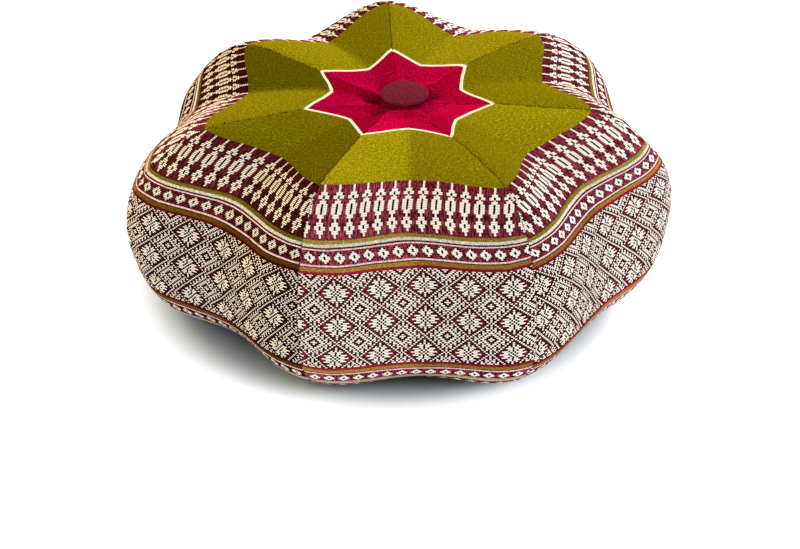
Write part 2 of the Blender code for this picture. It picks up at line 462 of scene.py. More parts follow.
def section_rows():
    """The sections' table carried by a smooth curve and cut at even steps of the seam's and the fold's mean
    length, and the fold's own run from the middle of the button."""
    steps = (np.diff(run_of(SECTIONS[:, 0:2])) + np.diff(run_of(SECTIONS[:, 2:4]))) / 2
    dense = smooth_line(SECTIONS, steps, SECTION_STEPS)
    dense[:, [1, 3]] = np.maximum(dense[:, [1, 3]], 0)
    fold_run = run_of(dense[:, 2:4])
    mean_run = (run_of(dense[:, 0:2]) + fold_run) / 2
    cuts = np.linspace(0, mean_run[-1], ROWS)
    table = np.stack([np.interp(cuts, mean_run, column) for column in dense.T])
    return table, np.interp(cuts, mean_run, fold_run) + SECTIONS[0, 2]


def direction(angles):
    """Unit vectors at these angles round the axis."""
    return np.stack([np.cos(angles), np.sin(angles), np.zeros_like(angles)], axis=-1)


def along(table, distance):
    """Each row of the table as a smooth line over the distance down the cushion, from and back to nothing."""
    bare = np.zeros((len(table), 1))
    points = np.concatenate([bare, table, bare], axis=1).T
    dense = smooth_line(points, np.diff(STRAY_AT), STRAY_STEPS)
    at = smooth_line(STRAY_AT[:, None], np.diff(STRAY_AT), STRAY_STEPS)[:, 0]
    return np.stack([np.interp(distance, at, column) for column in dense.T])


def line_on(angles, factors, foot_in, stray, reach, height):
    """Seven lines down the cushion, one at each angle. Beyond the star each is pushed out or drawn in by its
    own factor, each is drawn in at the foot, and each strays sideways by its own distances."""
    share = np.clip(reach / UNEVEN_FROM, 0, 1)
    uneven = reach * (1 + (factors[:, None] - 1) * share)
    uneven = uneven - foot_in[:, None] * share * smooth_step(-height, -FOOT_TOP, -FOOT_LOW)
    line = uneven[..., None] * direction(angles)[:, None] + height[..., None] * np.array([0, 0, 1])
    return line + stray[..., None] * direction(angles + np.pi / 2)[:, None]


def half_gores(seams, folds, seam_angles, fold_angles, side, shoulder_in, seam_round, fold_round, full):
    """Cubic curves from each seam to its fold. A curve leaves the seam and meets the fold partly along the
    straight line between them and partly along the circle round the axis, by the roundness there. Its height
    drops by the power full of the way across, and its middle is drawn in towards the axis by shoulder_in."""
    across = folds - seams
    width = np.linalg.norm(across, axis=-1, keepdims=True) * side
    seam_way = direction(seam_angles + np.pi / 2)[:, None]
    fold_way = direction(fold_angles + np.pi / 2)[:, None]
    seam_round, fold_round = seam_round[:, None], fold_round[:, None]
    leave = TURN_LENGTH * ((1 - seam_round) * across + seam_round * width * seam_way)
    arrive = TURN_LENGTH * ((1 - fold_round) * across + fold_round * width * fold_way)
    t = (np.arange(HALF_COLUMNS + 1) / HALF_COLUMNS) ** CLOSER_AT_SEAM
    t = (1 - (1 - t) ** CLOSER_AT_FOLD)[:, None]
    curves = cubic(t, *(part[:, :, None] for part in (seams, leave, folds, arrive)))
    curves[..., 2] = seams[:, :, None, 2] + across[:, :, None, 2] * t[:, 0] ** full[:, None]
    outward = curves[..., :2] / np.linalg.norm(curves[..., :2], axis=-1, keepdims=True)
    curves[..., :2] -= outward * (shoulder_in[:, :, None] * (4 * t * (1 - t))[:, 0])[..., None]
    return curves


def soft_noise(places, wavelength, seed):
    """Sine waves of one length through the places, each in its own direction, added up to about -1 to 1."""
    chance = np.random.default_rng(seed)
    ways = chance.normal(size=(NOISE_WAVES, 3))
    ways *= TURN / wavelength / np.linalg.norm(ways, axis=1, keepdims=True)
    return np.sin(places @ ways.T + chance.uniform(0, TURN, NOISE_WAVES)).sum(axis=-1) / NOISE_PEAK


def seams_and_folds(table, fold_run):
    """The seven seam lines and the seven fold lines, the folds raised beside the top button."""
    rise = BUTTON_SIDE_RISE[:, None] * bell(fold_run, BUTTON_SIDE_AT, BUTTON_SIDE_SPAN)
    seam_stray, fold_stray = along(SEAM_STRAY, fold_run), along(FOLD_STRAY, fold_run)
    seams = line_on(SEAM_ANGLES, SEAM_UNEVEN, SEAM_FOOT_IN, seam_stray, table[0], table[1])
    folds = line_on(FOLD_ANGLES, FOLD_UNEVEN, FOLD_FOOT_IN, fold_stray, table[2], table[3] + rise)
    return seams, folds


def down_the_cloth(across, width, fold_run):
    """How far down the cloth each point lies: its distance along the fold, less what its gore's bands have
    slipped and dropped at the seam and at the fold, each fading towards the other."""
    slip = np.where(width < 0, SLIPS[:, :1, None], SLIPS[:, 1:, None])
    slip = slip * smooth_step(fold_run, SLIP_FROM, SLIP_TO)[:, None]
    first_drop = along(SEAM_DROP, fold_run)[..., None]
    slip = slip + np.where(width < 0, first_drop, np.roll(first_drop, -1, axis=0))
    share = (across / width) ** 2
    return fold_run[:, None] - slip * share - along(FOLD_DROP, fold_run)[..., None] * (1 - share)


def gore_surfaces():
    """All seven gores, as rows down by columns across, with the distance of each point across from the fold,
    down along the fold and in from the seam."""
    table, fold_run = section_rows()
    seams, folds = seams_and_folds(table, fold_run)
    next_seams, next_angles = np.roll(seams, -1, axis=0), SEAM_ANGLES + 2 * HALF_GORE
    shoulder_in = SHOULDER_IN[..., None] * bell(fold_run, SHOULDER_AT, SHOULDER_SPAN)
    first = half_gores(seams, folds, SEAM_ANGLES, FOLD_ANGLES, 1, shoulder_in[:, 0], *table[4:7])
    last = half_gores(next_seams, folds, next_angles, FOLD_ANGLES, -1, shoulder_in[:, 1], *table[4:7])
    first_run, last_run = run_of(first), run_of(last)
    places = np.concatenate([first, last[:, :, -2::-1]], axis=2)
    inward = np.concatenate([first_run, last_run[:, :, -2::-1]], axis=2)
    width = np.concatenate([
        np.broadcast_to(-first_run[:, :, -1:], first_run.shape),
        np.broadcast_to(last_run[:, :, -1:], last_run.shape)[:, :, 1:],
    ], axis=2)
    across = width - np.sign(width) * inward
    return places, across, down_the_cloth(across, width, fold_run), inward


def normals_of(grid):
    """Unit normals of a grid whose columns close into a ring: its step down crossed with its step across."""
    down = np.gradient(grid, axis=0)
    across = np.roll(grid, -1, axis=1) - np.roll(grid, 1, axis=1)
    found = np.cross(down, across)
    return found / np.maximum(np.linalg.norm(found, axis=-1, keepdims=True), 1e-12)


def sewn_relief(grid, down, inward):
    """Moves the cover along its normals: a channel that follows each seam, puckers that fade away from it,
    and soft lumps of the filling. Nothing moves where the cushion stands."""
    half_gore = np.arange(grid.shape[1]) // HALF_COLUMNS * PUCKER_SHIFT
    pucker_places = np.stack([down, np.broadcast_to(half_gore, down.shape), 0 * down], axis=-1)
    puckers = soft_noise(pucker_places, PUCKER_LENGTH, PUCKER_SEED)
    height = (
        -SEAM_DEPTH * bell(inward, 0, SEAM_WIDTH)
        + PUCKER_DEPTH * puckers * np.exp(-inward / PUCKER_REACH)
        + LUMP_DEPTH * soft_noise(grid, LUMP_LENGTH, LUMP_SEED)
    )
    height *= smooth_step(grid[..., 2], 0, RELIEF_FROM)
    return grid + normals_of(grid) * height[..., None]


def closed_faces(rows, columns):
    """Quads between neighbouring rows and columns, the columns closing into a ring, and a fan of triangles at
    each end round the two extra points."""
    down, along = np.meshgrid(np.arange(rows - 1), np.arange(columns), indexing="ij")
    beside = (along + 1) % columns
    quads = np.stack([
        down * columns + along, (down + 1) * columns + along,
        (down + 1) * columns + beside, down * columns + beside,
    ], axis=-1).reshape(-1, 4)
    along = np.arange(columns)
    beside = (along + 1) % columns
    top, bottom = rows * columns, rows * columns + 1
    last = (rows - 1) * columns
    caps = np.concatenate([
        np.stack([np.full(columns, top), along, beside], axis=-1),
        np.stack([last + beside, last + along, np.full(columns, bottom)], axis=-1),
    ])
    return quads, caps


def new_object(name, data):
    """An object with this data, linked to the scene."""
    made = bpy.data.objects.new(name, data)
    bpy.context.scene.collection.objects.link(made)
    return made


def closed_mesh(name, grid, ends):
    """A mesh object from a grid whose columns close into a ring, with one point beyond each end."""
    quads, caps = closed_faces(*grid.shape[:2])
    points = np.concatenate([grid.reshape(-1, 3), np.array(ends)])
    mesh = bpy.data.meshes.new(name)
    mesh.from_pydata(points, [], quads.tolist() + caps.tolist())
    mesh.shade_smooth()
    return new_object(name, mesh)


def point_values(piece, name, values):
    """Stores a closed mesh's values as an attribute. The point beyond each end takes the value beside it."""
    layer = piece.data.attributes.new(name, "FLOAT", "POINT")
    layer.data.foreach_set("value", np.append(values.ravel(), values[[0, -1], 0]))


def ring(values):
    """Seven gores' values side by side, each seam's column kept once."""
    return np.concatenate([gore[:, :-1] for gore in values], axis=1)


def cloth_map(across, down):
    """Every face corner's place on the cloth, gore beside gore. The fans at the ends lie under the buttons
    and have one place each."""
    shifted = across + GORE_SHIFT * np.arange(LOBES)[:, None, None]
    flat = np.stack([shifted, down], axis=-1)
    corners = np.stack([flat[:, :-1, :-1], flat[:, 1:, :-1], flat[:, 1:, 1:], flat[:, :-1, 1:]], axis=3)
    corners = np.concatenate(list(corners), axis=1).reshape(-1, 2)
    fan = np.zeros((3 * LOBES * 2 * HALF_COLUMNS, 2))
    return np.concatenate([corners, fan, fan + down.max()])


def make_cover(axis):
    """The seven gores joined at their seams into one closed surface. Its map named cloth holds the distances
    across and down each gore, its attribute seam the distance in from the nearest seam, and its attribute
    panel the painted light and shade of each half gore, blended across the fold."""
    places, across, down, inward = gore_surfaces()
    inward_ring = ring(inward)
    grid = sewn_relief(ring(places), ring(down), inward_ring)
    ends = [grid[0].mean(axis=0), grid[-1].mean(axis=0)]
    cover = closed_mesh("cover", grid + axis, ends + axis)
    layer = cover.data.uv_layers.new(name="cloth")
    layer.uv.foreach_set("vector", cloth_map(across, down).ravel())
    blend = smooth_step(across, -PANEL_BLEND, PANEL_BLEND)
    tones = PANEL_LIGHT_AND_SHADE[:, 0, None, None] * (1 - blend) + PANEL_LIGHT_AND_SHADE[:, 1, None, None] * blend
    point_values(cover, "seam", inward_ring)
    point_values(cover, "panel", ring(tones))
    return cover


# Shape of the buttons

def button_profile(t):
    """How far out and how far down a button's profile lies: a shallow dome, a round edge, an underside drawn
    in towards the neck, and the neck itself."""
    dome = np.clip(t / EDGE_FROM, 0, 1)
    edge = np.clip((t - EDGE_FROM) / (UNDER_FROM - EDGE_FROM), 0, 1) * np.pi
    under = np.clip((t - UNDER_FROM) / (1 - UNDER_FROM), 0, 1) * 2
    rim = BUTTON_RADIUS - EDGE_BULGE
    reach = rim * dome + EDGE_BULGE * np.sin(edge)
    reach = reach - (rim - NECK_RADIUS) * smooth_step(t, UNDER_FROM, NECK_FROM)
    drop = DOME_HEIGHT * dome**DOME_POWER + EDGE_HEIGHT * (1 - np.cos(edge)) / 2
    drop = drop + UNDER_HEIGHT * np.minimum(under, 1) + NECK_HEIGHT * np.maximum(under - 1, 0)
    return reach, drop


def gathered(reach, t, turn, seed):
    """The reach with gathers, a wave round the button that grows below the edge, and with fine ripples from
    the edge on."""
    sway = GATHER_SWAY * np.sin(GATHER_SWAYS * turn + seed)
    gathers = np.abs(np.sin(turn * GATHERS + sway)) - GATHER_MEAN
    reach = reach * (1 + GATHER_DEPTH * gathers * smooth_step(t, *GATHER_SPAN))
    ripples = np.sin(RIPPLES * turn + seed)
    return reach * (1 + RIPPLE_DEPTH * ripples * smooth_step(t, *RIPPLE_SPAN))


def make_button(name, hub, rim_height, up, seed):
    """A covered button on its twine, as one gathered profile turned round the hub. Its attribute under is 1
    below the edge, where shade is painted."""
    t = np.linspace(0, 1, BUTTON_ROWS)[:, None]
    turn = (np.arange(BUTTON_COLUMNS) * TURN / BUTTON_COLUMNS)[None]
    reach, drop = button_profile(t)
    reach = gathered(reach, t, turn, seed)
    x, y = reach * np.cos(turn), up * reach * np.sin(turn)
    z = rim_height + up * (DOME_HEIGHT + EDGE_HEIGHT / 2 - drop)
    grid = np.stack([x, y, np.broadcast_to(z, x.shape)], axis=-1) + hub
    grid[..., 2] += BUTTON_LUMP_DEPTH * soft_noise(grid, BUTTON_LUMP_LENGTH, seed)
    button = closed_mesh(name, grid[1:], [grid[0].mean(axis=0), grid[-1].mean(axis=0)])
    point_values(button, "under", np.broadcast_to(smooth_step(t, *SHADE_SPAN), x.shape)[1:])
    return button


# Nodes

class Net:
    """Adds nodes to a tree. Any input takes a number, a colour or another node's output."""

    def __init__(self, tree):
        self.tree = tree

    def add(self, kind, inputs, **settings):
        node = self.tree.nodes.new(kind)
        for name, value in settings.items():
            setattr(node, name, value)
        for key, value in inputs.items():
            if isinstance(value, bpy.types.NodeSocket):
                self.link(value, node, key)
            else:
                node.inputs[key].default_value = value
        return node

    def link(self, value, node, key):
        self.tree.links.new(value, node.inputs[key])

    def use(self, group, **inputs):
        """A group node's outputs. Its inputs are given by their names in lower case."""
        named = {key.capitalize(): value for key, value in inputs.items()}
        return self.add("ShaderNodeGroup", named, node_tree=group).outputs

    def math(self, operation, *values):
        return self.add("ShaderNodeMath", dict(enumerate(values)), operation=operation).outputs[0]

    def total(self, *values):
        found = values[0]
        for value in values[1:]:
            found = self.math("ADD", found, value)
        return found

    def product(self, *values):
        found = values[0]
        for value in values[1:]:
            found = self.math("MULTIPLY", found, value)
        return found

    def between(self, value, low, high):
        above = self.math("GREATER_THAN", value, low)
        return self.product(above, self.math("LESS_THAN", value, high))

    def spread(self, value, low, high):
        """value from 0 to 1 brought to the range from low to high."""
        return self.math("MULTIPLY_ADD", value, high - low, low)

    def soft(self, value, low, high):
        """0 to 1 as value goes from low to high, smoothly."""
        keys = {"Value": value, "From Min": low, "From Max": high}
        return self.add("ShaderNodeMapRange", keys, interpolation_type="SMOOTHSTEP").outputs[0]

    def mix(self, factor, first, second, blend="MIX"):
        inputs = {0: factor, 6: first, 7: second}
        return self.add("ShaderNodeMix", inputs, data_type="RGBA", blend_type=blend).outputs[2]

    def tinted(self, colour, tint, factor=1.0):
        """The colour times the tint, as far as the factor says."""
        return self.mix(factor, colour, tint, "MULTIPLY")

    def join(self, x, y, z=0.0):
        return self.add("ShaderNodeCombineXYZ", {0: x, 1: y, 2: z}).outputs[0]

    def grey(self, value):
        return self.join(value, value, value)

    def grain(self, across, down, scale_across, scale_down, layer, detail, roughness=0.5):
        """Noise over the cloth, with its own scale each way, in its own layer."""
        vector = self.join(self.product(across, scale_across), self.product(down, scale_down), layer)
        inputs = {"Vector": vector, "Scale": 1.0, "Detail": detail, "Roughness": roughness}
        return self.add("ShaderNodeTexNoise", inputs).outputs[0]

    def attribute(self, name):
        return self.add("ShaderNodeAttribute", {}, attribute_name=name).outputs["Fac"]


def new_group(name, inputs, outputs):
    """An empty shader node group with these number inputs and outputs: its net, its given values and its
    output node."""
    tree = bpy.data.node_groups.new(name, "ShaderNodeTree")
    for socket in inputs:
        tree.interface.new_socket(socket, in_out="INPUT", socket_type="NodeSocketFloat")
    for socket in outputs:
        tree.interface.new_socket(socket, in_out="OUTPUT", socket_type="NodeSocketFloat")
    net = Net(tree)
    return net, tree.nodes.new("NodeGroupInput").outputs, tree.nodes.new("NodeGroupOutput")


def chart_group(name, chart):
    """Looks up a woven chart. Each row is one stop of a ramp, whose red, green and blue hold the row's cream,
    crimson and dark cells as the digits of a binary number, and the column picks the digit. A new ramp has
    two stops, and the rest are added."""
    net, given, out = new_group(name, ["Column", "Row"], CELL_KINDS)
    size = 2.0 ** len(chart[0])
    place = net.math("DIVIDE", net.math("ADD", given["Row"], 0.5), len(chart))
    ramp = net.add("ShaderNodeValToRGB", {0: place})
    ramp.color_ramp.interpolation = "CONSTANT"
    stops = ramp.color_ramp.elements
    for number, row in enumerate(chart):
        stop = stops[number] if number < 2 else stops.new(1.0)
        stop.position = number / len(chart)
        codes = [sum(2.0**i for i, cell in enumerate(row) if cell == letter) for letter in "CRK"]
        stop.color = [code / size for code in codes] + [1]
    parts = net.add("ShaderNodeSeparateColor", {0: ramp.outputs[0]}).outputs
    digit = net.math("POWER", 2.0, given["Column"])
    for socket, part in zip(CELL_KINDS, parts):
        whole = net.math("DIVIDE", net.math("MULTIPLY_ADD", part, size, 0.5), digit)
        bit = net.math("MODULO", net.math("FLOOR", whole), 2.0)
        net.link(bit, out, socket)
    return net.tree


def mirror_group():
    """Turns a position into the number of its cell, counted from the nearest middle of a repeat. A hundredth
    is added against rounding."""
    net, given, out = new_group("mirrored cells", ["Position", "Cell", "Repeat"], ["Number"])
    cell = net.math("FLOOR", net.math("ADD", net.math("DIVIDE", given["Position"], given["Cell"]), 0.5))
    half = net.math("MULTIPLY", given["Repeat"], 0.5)
    shifted = net.math("FLOORED_MODULO", net.math("ADD", cell, half), given["Repeat"])
    number = net.math("ABSOLUTE", net.math("SUBTRACT", shifted, half))
    net.link(net.math("FLOOR", net.math("ADD", number, 0.01)), out, "Number")
    return net.tree


def gap_group():
    """The dark gaps between rows of floats: 0 in the middle of a row and 1 at its edges."""
    net, given, out = new_group("row gaps", ["Position"], ["Gap"])
    from_edge = net.math("ABSOLUTE", net.math("SUBTRACT", net.math("FRACT", given["Position"]), 0.5))
    net.link(net.soft(from_edge, *GAP_EDGES), out, "Gap")
    return net.tree


def yarn_group():
    """Plain-woven yarns: a checkerboard of warp and weft crowns for the height, uneven yarns along both ways
    for the tone, and paler flecks for the speckle."""
    net, given, out = new_group("woven yarns", ["Across", "Down", "Pitch"], ["Height", "Tone", "Speckle"])
    across = net.math("DIVIDE", given["Across"], given["Pitch"])
    down = net.math("DIVIDE", given["Down"], given["Pitch"])
    wave_across = net.math("SINE", net.math("MULTIPLY", across, np.pi))
    wave_down = net.math("SINE", net.math("MULTIPLY", down, np.pi))
    over = net.math("GREATER_THAN", net.product(wave_across, wave_down), 0.0)
    warp = net.product(net.math("ABSOLUTE", wave_across), over)
    weft = net.product(net.math("ABSOLUTE", wave_down), net.math("SUBTRACT", 1.0, over))
    net.link(net.math("ADD", warp, weft), out, "Height")
    yarn_tones = net.total(net.grain(across, down, *WEFT_GRAIN), net.grain(across, down, *WARP_GRAIN))
    both = net.math("SUBTRACT", yarn_tones, 1.0)
    net.link(net.math("MULTIPLY_ADD", both, THREAD_CONTRAST, 0.5), out, "Tone")
    speckle = net.grain(across, down, *SPECKLE_GRAIN)
    net.link(net.soft(speckle, *SPECKLE_EDGES), out, "Speckle")
    return net.tree


# Materials

def new_material(name, **values):
    """A material whose Principled shader has these plain values, that shader, and the net of its nodes."""
    material = bpy.data.materials.new(name)
    material.use_nodes = True
    shader = material.node_tree.nodes["Principled BSDF"]
    for key, value in values.items():
        shader.inputs[key.replace("_", " ")].default_value = value
    return material, shader, Net(material.node_tree)


def woven_surface(net, shader, colour, height):
    """Gives a cloth's shader its colour and its height."""
    net.link(colour, shader, "Base Color")
    inputs = {"Strength": BUMP_STRENGTH, "Distance": BUMP_DISTANCE, "Height": height}
    net.link(net.add("ShaderNodeBump", inputs).outputs[0], shader, "Normal")


def cloth_places(net):
    """Where a point lies on the cloth, with the small wander of hand weaving: across from the fold, down from
    the top button, and away from the middle of the diamond band, plainly (row_place), with the lower bands
    coming sooner (from_middle) and with teeth too (edge). Then whether it lies in each patterned band, and
    the two noises that the colours use."""
    flat = net.add("ShaderNodeUVMap", {}, uv_map="cloth").outputs[0]
    split = net.add("ShaderNodeSeparateXYZ", {0: flat}).outputs
    at = SimpleNamespace()
    at.wander = net.grain(split[0], split[1], *WANDER_GRAIN)
    at.mottle = net.grain(split[0], split[1], *MOTTLE_GRAIN)
    sway = net.grain(split[0], split[1], *SWAY_GRAIN)
    in_gore = net.math("WRAP", split[0], GORE_SHIFT / 2, -GORE_SHIFT / 2)
    at.across = net.total(in_gore, net.spread(at.wander, -WANDER, WANDER))
    at.down = net.total(split[1], net.spread(sway, -SWAY, SWAY))
    below = net.math("SUBTRACT", at.down, BAND_MIDDLE)
    at.row_place = net.math("ABSOLUTE", below)
    at.from_middle = net.math("MAXIMUM", net.product(below, -1.0), net.math("ADD", below, LOWER_RISE))
    teeth = net.math("SINE", net.product(at.across, TURN / TOOTH_PITCH))
    at.edge = net.total(at.from_middle, net.product(teeth, TOOTH_HEIGHT))
    at.in_diamond = net.math("LESS_THAN", at.edge, DIAMOND_END)
    at.in_flower = net.between(at.edge, PINK_LINE_END, FLOWER_END)
    at.in_lantern = net.between(at.edge, OLIVE_LINE_END, LANTERN_END)
    return at


def charted_cells(net, at, mirrored, charts):
    """The cream, crimson and dark cells of the three charts, each only inside its own band. The place learns
    its row in the lantern and its column and row in the diamond."""
    diamond, lantern, flower = charts
    at.diamond_across = net.total(at.across, -DIAMOND_SHIFT)
    at.lantern_row = net.math("DIVIDE", net.math("SUBTRACT", LANTERN_END, at.from_middle), LANTERN_ROW)
    from_flower = net.math("ABSOLUTE", net.math("SUBTRACT", at.from_middle, FLOWER_MIDDLE))
    flower_row = net.math("FLOOR", net.math("DIVIDE", from_flower, FLOWER_ROW))

    def number(position, cell, repeat):
        return net.use(mirrored, position=position, cell=cell, repeat=repeat)["Number"]

    at.diamond_column = number(at.diamond_across, CELL_ACROSS, DIAMOND_COLUMNS)
    at.diamond_row = number(at.row_place, CELL_ALONG, DIAMOND_ROWS)
    motif_column = number(at.across, BAND_CELL_ACROSS, MOTIF_COLUMNS)
    found = (
        (at.in_diamond, net.use(diamond, column=at.diamond_column, row=at.diamond_row)),
        (at.in_flower, net.use(flower, column=motif_column, row=flower_row)),
        (at.in_lantern, net.use(lantern, column=motif_column, row=net.math("FLOOR", at.lantern_row))),
    )
    return [net.total(*(net.product(cells[kind], inside) for inside, cells in found)) for kind in CELL_KINDS]


def ground_colour(net, at, thread, crimson, dark):
    """What shows beneath the cream floats: maroon and rose yarns in streaks, the darker ground of the diamond
    band, and the charts' dark and crimson cells."""
    streaks = net.soft(net.grain(at.across, at.down, *STREAK_GRAIN), *STREAK_EDGES)
    colour = net.mix(net.product(net.total(thread["Speckle"], streaks), 0.5), MAROON, ROSE)
    colour = net.tinted(colour, net.grey(net.spread(streaks, *STREAK_TONES)))
    colour = net.mix(at.in_diamond, colour, DIAMOND_GROUND)
    colour = net.mix(dark, colour, DARK)
    return net.mix(crimson, colour, DIAMOND_RED)


def banded(net, at, colour):
    """The plain bands and lines laid over the ground. The two pink lines are of a twisted yarn."""
    turns = net.total(net.product(at.across, TURN / TWIST_ACROSS), net.product(at.down, TURN / TWIST_DOWN))
    twist = net.soft(net.math("SINE", turns), *TWIST_EDGES)
    pink = net.mix(net.product(twist, TWIST_SEEN), PINK_WHITE, PINK_TWIST)
    bands = (
        (DIAMOND_END, CRIMSON_LINE_END, LINE_CRIMSON),
        (CRIMSON_LINE_END, OCHRE_END, OCHRE),
        (OCHRE_END, DARK_LINE_END, LINE_MAROON),
        (DARK_LINE_END, PINK_LINE_END, pink),
        (FLOWER_END, UPPER_PINK_END, pink),
        (UPPER_PINK_END, UPPER_DARK_END, LINE_MAROON),
        (UPPER_DARK_END, GREY_END, GREY_WHITE),
        (GREY_END, OLIVE_LINE_END, LINE_OLIVE),
        (LANTERN_END, OLIVE_END, OLIVE),
        (STAR_LINE_END, CLOTH_END, CRIMSON),
    )
    for low, high, band in bands:
        colour = net.mix(net.between(at.edge, low, high), colour, band)
    return colour


def toned(net, at, thread, colour):
    """The colour with the uneven light of its yarns and of the weave's mottle."""
    tone = net.total(net.spread(thread["Tone"], *THREAD_TONES), net.product(thread["Speckle"], SPECKLE_SEEN))
    tone = net.product(tone, net.spread(at.mottle, *MOTTLE_TONES))
    return net.tinted(colour, net.grey(tone))


def with_painted_panel_light(net, at, panel, shaded, colour):
    """The colour with its half gore's painted light and shade. The star takes only a share of it, shaded
    patterned bands take it deeper, and the pale lines take none. Where the painted shade darkens, blue takes
    it once more, undeepened."""
    share = net.spread(net.math("GREATER_THAN", at.from_middle, STAR_LINE_END), 1.0, STAR_PANEL_SHARE)
    painted_tone = net.math("MULTIPLY_ADD", net.math("SUBTRACT", panel, 1.0), share, 1.0)
    blue_painted_tone = net.math("MINIMUM", painted_tone, 1.0)
    patterned = net.total(net.math("LESS_THAN", at.edge, OCHRE_END), at.in_flower, at.in_lantern)
    painted_tone = net.product(painted_tone, net.spread(net.product(shaded, patterned), *SHADED_PATTERN))
    pale = ((DARK_LINE_END, PINK_LINE_END), (FLOWER_END, UPPER_PINK_END), (UPPER_DARK_END, GREY_END))
    in_pale = net.total(*(net.between(at.edge, low, high) for low, high in pale))
    tint = net.join(painted_tone, painted_tone, net.product(painted_tone, blue_painted_tone))
    return net.tinted(colour, tint, net.math("SUBTRACT", 1.0, in_pale))


def sparkled(net, at, colour):
    """The colour with painted glints: small bright flecks on the plain olive and crimson cloth."""
    plain_cloth = net.math("GREATER_THAN", at.from_middle, LANTERN_END)
    sparkle = net.product(net.soft(at.mottle, *SPARKLE_EDGES), plain_cloth, SPARKLE_SEEN)
    return net.mix(sparkle, colour, net.tinted(colour, SPARKLE_GAIN))


def cream_yarn(net, at, gaps, shaded):
    """The cream floats: uneven yarns with dark gaps between their rows. Beside a diamond's bloom they are a
    little warmer and have gaps between their columns too, faint on bright half gores. On shaded half gores
    the yarns take a painted warm light and the gaps a painted shade that makes them deeper and darker."""
    lantern_gap = net.product(net.use(gaps, position=at.lantern_row)["Gap"], LANTERN_GAP)
    diamond_place = net.math("MULTIPLY_ADD", at.row_place, 1 / CELL_ALONG, 0.5)
    diamond_gap = net.product(net.use(gaps, position=diamond_place)["Gap"], DIAMOND_GAP)
    away = net.math("SUBTRACT", 1.0, at.in_diamond)
    gap = net.total(net.product(lantern_gap, away), net.product(diamond_gap, at.in_diamond))
    gap = net.product(gap, net.spread(shaded, *SHADED_ROW_GAPS))
    bloom_across = net.product(at.diamond_column, 1 / BLOOM_COLUMNS)
    from_bloom = net.total(bloom_across, net.product(at.diamond_row, 1 / BLOOM_ROWS))
    beside_bloom = net.product(net.math("GREATER_THAN", from_bloom, 1.0), at.in_diamond)
    column_place = net.math("MULTIPLY_ADD", at.diamond_across, 1 / CELL_ACROSS, 0.5)
    column_gap = net.product(
        net.use(gaps, position=column_place)["Gap"], net.spread(shaded, *SHADED_COLUMN_GAPS)
    )
    gap = net.total(gap, net.product(column_gap, beside_bloom))
    yarn = net.mix(beside_bloom, CREAM, WARM_CREAM)
    yarn = net.tinted(yarn, net.grey(net.spread(at.wander, *WANDER_TONES)))
    # Painted warm light on the yarns and painted shade in the gaps of shaded half gores
    yarn = net.tinted(yarn, PAINTED_WARM_LIGHT, shaded)
    return net.mix(gap, yarn, net.mix(shaded, CREAM_GAP, DARK))


def stitched(net, at, colour):
    """The colour with a row of dark stitches along each seam, faint in the star."""
    stitch = net.math("SINE", net.product(at.down, TURN / STITCH_PITCH))
    beside_seam = net.math("LESS_THAN", net.attribute("seam"), STITCH_REACH)
    dotted = net.product(beside_seam, net.soft(stitch, *STITCH_EDGES))
    seen = net.spread(net.math("LESS_THAN", at.from_middle, STAR_LINE_END), *STITCH_SEEN)
    return net.mix(net.product(dotted, seen), colour, DARK)


def banded_cloth(yarns, gaps, mirrored, charts):
    """The cover's cloth. The distance from the middle of the diamond band picks the band, and the charts
    pick the cream, crimson and dark cells inside the patterned ones."""
    material, shader, net = new_material("banded_cloth", Roughness=MATT, Specular_IOR_Level=0.0)
    at = cloth_places(net)
    thread = net.use(yarns, across=at.across, down=at.down, pitch=YARN)
    cream, crimson, dark = charted_cells(net, at, mirrored, charts)
    # Each half gore's painted light and shade, and how far that makes it count as shaded
    panel = net.attribute("panel")
    shaded = net.soft(panel, *SHADED_TONES)
    colour = banded(net, at, ground_colour(net, at, thread, crimson, dark))
    colour = with_painted_panel_light(net, at, panel, shaded, toned(net, at, thread, colour))
    colour = sparkled(net, at, colour)
    colour = net.mix(net.product(cream, CREAM_SEEN), colour, cream_yarn(net, at, gaps, shaded))
    colour = net.mix(net.between(at.edge, OLIVE_END, STAR_LINE_END), colour, STAR_CREAM)
    uneven = net.product(thread["Tone"], UNEVEN_RAISED)
    height = net.total(net.product(thread["Height"], YARN_RAISED), net.product(cream, CREAM_RAISED), uneven)
    woven_surface(net, shader, stitched(net, at, colour), height)
    return material


def button_cloth(yarns):
    """Plain maroon cloth over the buttons, with the cover's yarns, a little fluff and painted shade under the
    edge.
    """
    material, shader, net = new_material("button_cloth", Roughness=MATT, Specular_IOR_Level=0.0)
    place = net.add("ShaderNodeTexCoord", {}).outputs["Object"]
    split = net.add("ShaderNodeSeparateXYZ", {0: place}).outputs
    thread = net.use(yarns, across=split[0], down=net.total(split[1], split[2]), pitch=BUTTON_YARN)
    colour = net.tinted(BUTTON, net.grey(net.spread(thread["Tone"], *BUTTON_TONES)))
    colour = net.mix(net.product(thread["Speckle"], FLUFF_SEEN), colour, BUTTON_FLUFF)
    # Painted shade under the button's edge
    colour = net.mix(net.product(net.attribute("under"), UNDER_SHADE_SEEN), colour, DARK)
    uneven = net.product(thread["Tone"], BUTTON_UNEVEN_RAISED)
    height = net.total(net.product(thread["Height"], BUTTON_YARN_RAISED), uneven)
    woven_surface(net, shader, colour, height)
    return material


